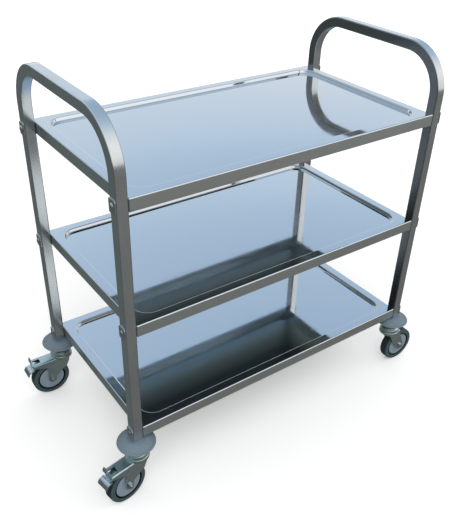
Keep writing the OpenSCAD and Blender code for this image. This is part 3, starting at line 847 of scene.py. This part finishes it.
class CART_OT_casters(CartPiece, bpy.types.Operator):
    """Dresses the caster steel: forks, stems, caps, balls and axles"""
    bl_idname = "cart.casters"
    bl_label = "Casters"

    def make(self, sizes, finish):
        low, high = node_box("front_left_swivel_cap")
        rim, foot, top = (high.x - low.x) / 2 / MM, low.z / MM, high.z / MM
        bore, race, race_up, edge = 6.05, 14, 3.5, 3
        cap = [(bore, foot + race_up), (race, foot + race_up), (race, foot), (rim, foot)]
        cap += arc(rim - edge, (foot + top) / 2, edge, 0, 60)
        cap += arc(rim - 2 * edge, top - edge, edge, 30, 90) + [(bore, top)]
        balls = self.ball_ring()
        for corner in CORNERS:
            body = corner + "_caster"
            place = caster_place(corner)
            fork = eased(corner + "_fork", sizes.edge_break, corner + "_folded_fork")
            settle(fork, body, "zinc_steel", [corner + "_fork"], finish["zinc"])
            stem = eased(corner + "_stem", 2 * sizes.edge_break, corner + "_hex_stem")
            settle(stem, "frame", "zinc_steel", [corner + "_stem"], finish["zinc"])
            mesh = stitched(corner + "_pressed_cap", turned(rounded(cap, 0.8), 128), place)
            settle(new_object(corner + "_pressed_cap", mesh), "frame", "zinc_steel",
                   [corner + "_swivel_cap"], finish["zinc"])
            race_centre = place @ Vector((0, 0, SWIVEL.z - 0.25 * MM))
            bearing = balls.grow(
                corner + "_bearing_balls", points_mesh("race_centre", [race_centre]),
                circle_radius=20 * MM, ball_radius=3.5 * MM, balls=12, material=finish["ball"])
            balls_node = corner + "_swivel_balls"
            settle(bearing, frame["nodes"][balls_node]["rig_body"], "ball_steel",
                   [balls_node], finish["ball"])
            self.axle(corner, finish["fastener"])
            for node, dress in (("stem_plug", "plug"), ("axle_sleeve", "zinc")):
                frame["nodes"][corner + "_" + node].material_slots[0].material = finish[dress]

    @staticmethod
    def ball_ring():
        """A tree that sets balls round a race."""
        shape = Shape("balls_round_a_race", circle_radius="Float", ball_radius="Float", balls="Int",
                      material="Material")
        given = shape.given
        circle = shape.node("GeometryNodeMeshCircle", {}, {
            "Vertices": given["Balls"], "Radius": given["Circle radius"]})["Mesh"]
        ball = shape.node("GeometryNodeMeshUVSphere", {}, {
            "Segments": 24, "Rings": 12, "Radius": given["Ball radius"]})["Mesh"]
        ball = shape.node("GeometryNodeSetShadeSmooth", {}, {"Geometry": ball})["Geometry"]
        return shape.end(shape.copies(given["Geometry"], shape.copies(circle, ball)))

    @staticmethod
    def axle(corner, steel):
        """The bolt and nut on which a wheel runs."""
        side, high, flats, shank, chamfer = 17.5, 5.0, 13.0, 4.0, 0.8
        bore = shank + 0.05
        end = side + high + 2
        corner_r = 0.6 * flats
        crown = [(0.46 * flats, 0), (0.50 * flats, 0.15, flats), (0.55 * flats, 0.5, flats),
                 (corner_r, 0.9, flats)]
        head = [(0, -side - high)] + [(r, -side - high + up, *cut) for r, up, *cut in crown]
        head += [(corner_r, -side, flats), (shank, -side), (shank, end - chamfer),
                 (shank - chamfer, end), (0, end)]
        nut = [(bore, side)] + [(r, side + up, *cut) for r, up, *cut in crown]
        nut += [(r, side + high - up, *cut) for r, up, *cut in reversed(crown)]
        nut.append((bore, side + high))
        for name, outline in (("axle_bolt", head), ("axle_nut", nut)):
            mesh = stitched(corner + "_hex_" + name, turned(outline), wheel_place(corner), sharp=28)
            piece = new_object(corner + "_hex_" + name, mesh)
            even_shading(piece)
            node = corner + "_" + name
            settle(piece, frame["nodes"][node]["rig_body"], "zinc_steel", [node], steel)


class CART_OT_wheels(CartPiece, bpy.types.Operator):
    """Turns the grey wheel centres and their tyres"""
    bl_idname = "cart.wheels"
    bl_label = "Wheels"

    def make(self, sizes, finish):
        bore, boss, boss_half = 6.05, 10, 14
        web_r, web_half = 34.5, 10.5
        bed_r, bed_half = 40, 8
        lip_r, shoulder_r, tyre_half, round_r = 36.5, 37.5, 12.0, 4
        centre = rounded(mirrored([
            (bore, boss_half), (boss, boss_half), (boss, web_half), (web_r, web_half),
            (web_r, bed_half), (bed_r, bed_half)]), 0.7)
        tyre = mirrored([
            (bed_r, bed_half), (lip_r, bed_half), (lip_r, web_half), (shoulder_r, tyre_half),
            *arc(WHEEL_R / MM - round_r, tyre_half - round_r, round_r, 90, 0, 10)])
        for corner in CORNERS:
            for name, outline, slot, dress in (
                    ("wheel_centre", centre, "wheel_grey", "hub"),
                    ("tyre", tyre, "tyre_grey", "tyre")):
                part = corner + "_turned_" + name
                mesh = stitched(part, turned(outline, 160), wheel_place(corner))
                settle(new_object(part, mesh), corner + "_wheel", slot,
                       [corner + "_" + name], finish[dress])


class CART_OT_brakes(CartPiece, bpy.types.Operator):
    """Dresses the two brake pedals and their pins"""
    bl_idname = "cart.brakes"
    bl_label = "Brakes"

    def make(self, sizes, finish):
        for corner in BRAKED:
            for node, name, slot, dress in (
                    ("_brake_pedal", "_pressed_pedal", "pedal_steel", "pedal"),
                    ("_brake_pin", "_headed_pin", "zinc_steel", "fastener")):
                piece = eased(corner + node, sizes.edge_break, corner + name)
                if dress == "pedal":
                    self.mark_inside(piece.data, corner)
                body = frame["nodes"][corner + node]["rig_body"]
                settle(piece, body, slot, [corner + node], finish[dress])

    @staticmethod
    def mark_inside(mesh, corner):
        """Marks what lies inside the fork's channel, where the pedal gets painted shade."""
        to_caster = caster_place(corner).inverted()
        fork = frame["nodes"][corner + "_fork"].data
        channel_end = max((to_caster @ vert.co).x for vert in fork.vertices)
        inside = mesh.attributes.new("inside", "FLOAT", "POINT")
        for mark, vert in zip(inside.data, mesh.vertices):
            mark.value = float((to_caster @ vert.co).x < channel_end)


class CART_OT_stage(bpy.types.Operator):
    """Sets the floor, the light and the camera"""
    bl_idname = "cart.stage"
    bl_label = "Stage"

    def execute(self, context):
        stage = context.scene.cart_stage
        self.floor(stage)
        self.cards(stage)
        self.light(context.scene)
        self.camera(context.scene, stage)
        return {"FINISHED"}

    @staticmethod
    def seen_directly(tree):
        """1 for rays from the camera and for what metal or glass shows, otherwise 0."""
        path = tree.node("ShaderNodeLightPath")
        return path["Is Camera Ray"] + path["Is Glossy Ray"] + path["Is Transmission Ray"]

    def floor(self, stage):
        """A pale floor that keeps the object's shadow."""
        paint = Finish("pale_floor")
        grain = paint.noise(400 * MM)
        away = paint.node("ShaderNodeVectorMath", {"operation": "LENGTH"}, {
            0: paint.coordinates()})["Value"]
        lift = self.seen_directly(paint) * paint.span(away, 0.8, 4, 0.25, 0.6)
        paint.show(paint.node("ShaderNodeBsdfPrincipled", {}, {
            "Base Color": paint.blend(grain, toned(stage.floor, 0.985), stage.floor),
            "Roughness": 1.0, "Specular IOR Level": 0.0,
            "Emission Color": paint.blend(lift, (0, 0, 0), (1, 1, 1)),
            "Emission Strength": 1.0})["BSDF"])
        paint.material.cycles.emission_sampling = "NONE"
        reach, level = 9, [0] * 4
        self.board("floor", self.square(reach, level), [(0, 1, 2, 3)], paint)

    @staticmethod
    def square(reach, heights):
        """The corners of a square round the cart, from -X -Y round to -X +Y."""
        sides = ((-reach, -reach), (reach, -reach), (reach, reach), (-reach, reach))
        return [(x, y, height) for (x, y), height in zip(sides, heights)]

    @staticmethod
    def board(name, points, faces, paint):
        """A flat-faced piece of the stage."""
        mesh = bpy.data.meshes.new(name)
        mesh.from_pydata(points, [], faces)
        mesh.materials.append(paint.material)
        board = new_object(name, mesh)
        return board

    def cards(self, stage):
        """The ceiling and the low tray of card that the steel mirrors. They show in metal alone."""
        paint = Finish("ceiling")
        place = paint.place()
        middle_x, middle_y, front_squeeze = 1.5, 0.7, -2.2
        far_glow, front_glow = (1.03, 1.02, 1), (1.12, 1.14, 1.13)
        right, back = place["X"] - middle_x, place["Y"] - middle_y
        back = back.or_more(back * front_squeeze)
        away = (right * right + back * back) ** 0.5
        shade = paint.blend(paint.span(away, 0, 3.2) ** 1.5, stage.overhead, stage.ceiling)
        shade = paint.blend(paint.span(away, 2.7, 7), shade, far_glow)
        shade = paint.blend(paint.span(place["Y"], -0.5, -2.2), shade, front_glow)
        shade = paint.blend(paint.span(place["X"], -1.2, -3.0), shade, stage.ceiling_left)
        reach, level = 8, [2.6] * 4
        self.card("ceiling", self.square(reach, level), [(0, 1, 2, 3)], paint, shade)

        paint = Finish("tray")
        place = paint.place()
        shade = paint.blend(paint.span(place["Y"], -0.4, -1.5),
                            toned(stage.tray, 0.9), toned(stage.tray, 1.12))
        band = paint.span(place["Y"], 0.4, 0.7) * paint.span(place["Y"], 1.05, 0.85)
        shade = paint.blend(band, shade, stage.tray_back)
        shade = paint.blend(paint.span(place["X"], -0.40, -0.46), shade, stage.tray_left)
        reach, level, wall_tops = 3.1, [0.004] * 4, (1.5, 0.5, 0.5, 1.5)
        points = self.square(reach, level) + self.square(reach, wall_tops)
        walls = [(i, (i + 1) % 4, (i + 1) % 4 + 4, i + 4) for i in range(4)]
        self.card("tray", points, [(0, 1, 2, 3)] + walls, paint, shade)

    def card(self, name, points, faces, paint, shade):
        """A board that shows its colour in metal alone."""
        glow = paint.node("ShaderNodeEmission", {}, {"Color": shade, "Strength": 1.0})
        paint.show(glow["Emission"])
        card = self.board(name, points, faces, paint)
        card.visible_camera = card.visible_diffuse = card.visible_shadow = False

    def light(self, scene):
        """A white room with two soft lamps, which steel doesn't mirror."""
        world = bpy.data.worlds.new("studio")
        world.use_nodes = True
        scene.world = world
        sky = Tree(world.node_tree)
        plain, white = [sky.node("ShaderNodeBackground", {}, {
            "Color": (1, 1, 1), "Strength": strength})["Background"] for strength in (0.78, 1.0)]
        shown = sky.node("ShaderNodeMixShader", {}, {
            0: self.seen_directly(sky), 1: plain, 2: white})["Shader"]
        sky.node("ShaderNodeOutputWorld", {}, {"Surface": shown})
        for name, place, size, power in (
                ("key", (-1.6, -2.2, 3.0), 2.4, 42), ("fill", (2.6, -1.4, 2.6), 2.6, 14)):
            lamp = bpy.data.lights.new(name, "AREA")
            lamp.size = size
            lamp.energy = power
            holder = new_object(name, lamp)
            holder.visible_glossy = False
            holder.location = place
            towards = Vector((0, 0, 0.4)) - Vector(place)
            holder.rotation_euler = towards.to_track_quat("-Z", "Y").to_euler()

    @staticmethod
    def camera(scene, stage):
        """The camera at the viewing angle of the photograph."""
        heading, pitch, roll = stage.heading, stage.pitch, stage.roll
        ahead = Vector((math.cos(pitch) * math.cos(heading),
                        math.cos(pitch) * math.sin(heading), math.sin(pitch)))
        right = Vector((math.sin(heading), -math.cos(heading), 0))
        up = right.cross(ahead)
        across = right * math.cos(roll) + up * math.sin(roll)
        above = up * math.cos(roll) - right * math.sin(roll)
        data = bpy.data.cameras.new("photograph")
        data.sensor_width = 36
        data.lens = stage.lens
        data.shift_x, data.shift_y = -0.0041, 0.0303
        data.clip_start, data.clip_end = 0.05, 60
        camera = new_object("photograph", data)
        turn = Matrix((across, above, -ahead)).transposed().to_4x4()
        camera.matrix_world = Matrix.Translation(stage.eye) @ turn
        scene.camera = camera
        scene.view_settings.view_transform = "Standard"


OPERATORS = (CART_OT_end_frames, CART_OT_shelves, CART_OT_shelf_fixings, CART_OT_bumpers,
             CART_OT_casters, CART_OT_wheels, CART_OT_brakes, CART_OT_stage)
GROUPS = {"cart_sizes": CartSizes, "cart_finishes": CartFinishes, "cart_stage": CartStage}


class CART_PT_panel(bpy.types.Panel):
    """Lists the sizes, the finishes and the pieces"""
    bl_idname = "CART_PT_panel"
    bl_label = "Utility Cart"
    bl_space_type = "VIEW_3D"
    bl_region_type = "UI"
    bl_category = "Cart"

    def draw(self, context):
        for name, group in GROUPS.items():
            box = self.layout.box()
            settings = getattr(context.scene, name)
            for key in group.__annotations__:
                box.prop(settings, key)
        for operator in OPERATORS:
            self.layout.operator(operator.bl_idname)


def register():
    for cls in (*GROUPS.values(), *OPERATORS, CART_PT_panel):
        bpy.utils.register_class(cls)
    for name, group in GROUPS.items():
        setattr(bpy.types.Scene, name, bpy.props.PointerProperty(type=group))


def unregister():
    for name in GROUPS:
        delattr(bpy.types.Scene, name)
    for cls in reversed((*GROUPS.values(), *OPERATORS, CART_PT_panel)):
        bpy.utils.unregister_class(cls)


def main():
    register()
    for obj in list(bpy.data.objects):
        if obj.name in ("Cube", "Light", "Camera"):
            bpy.data.objects.remove(obj)
    for operator in OPERATORS:
        getattr(bpy.ops.cart, operator.bl_idname.split(".")[1])()


if __name__ == "__main__":
    main()
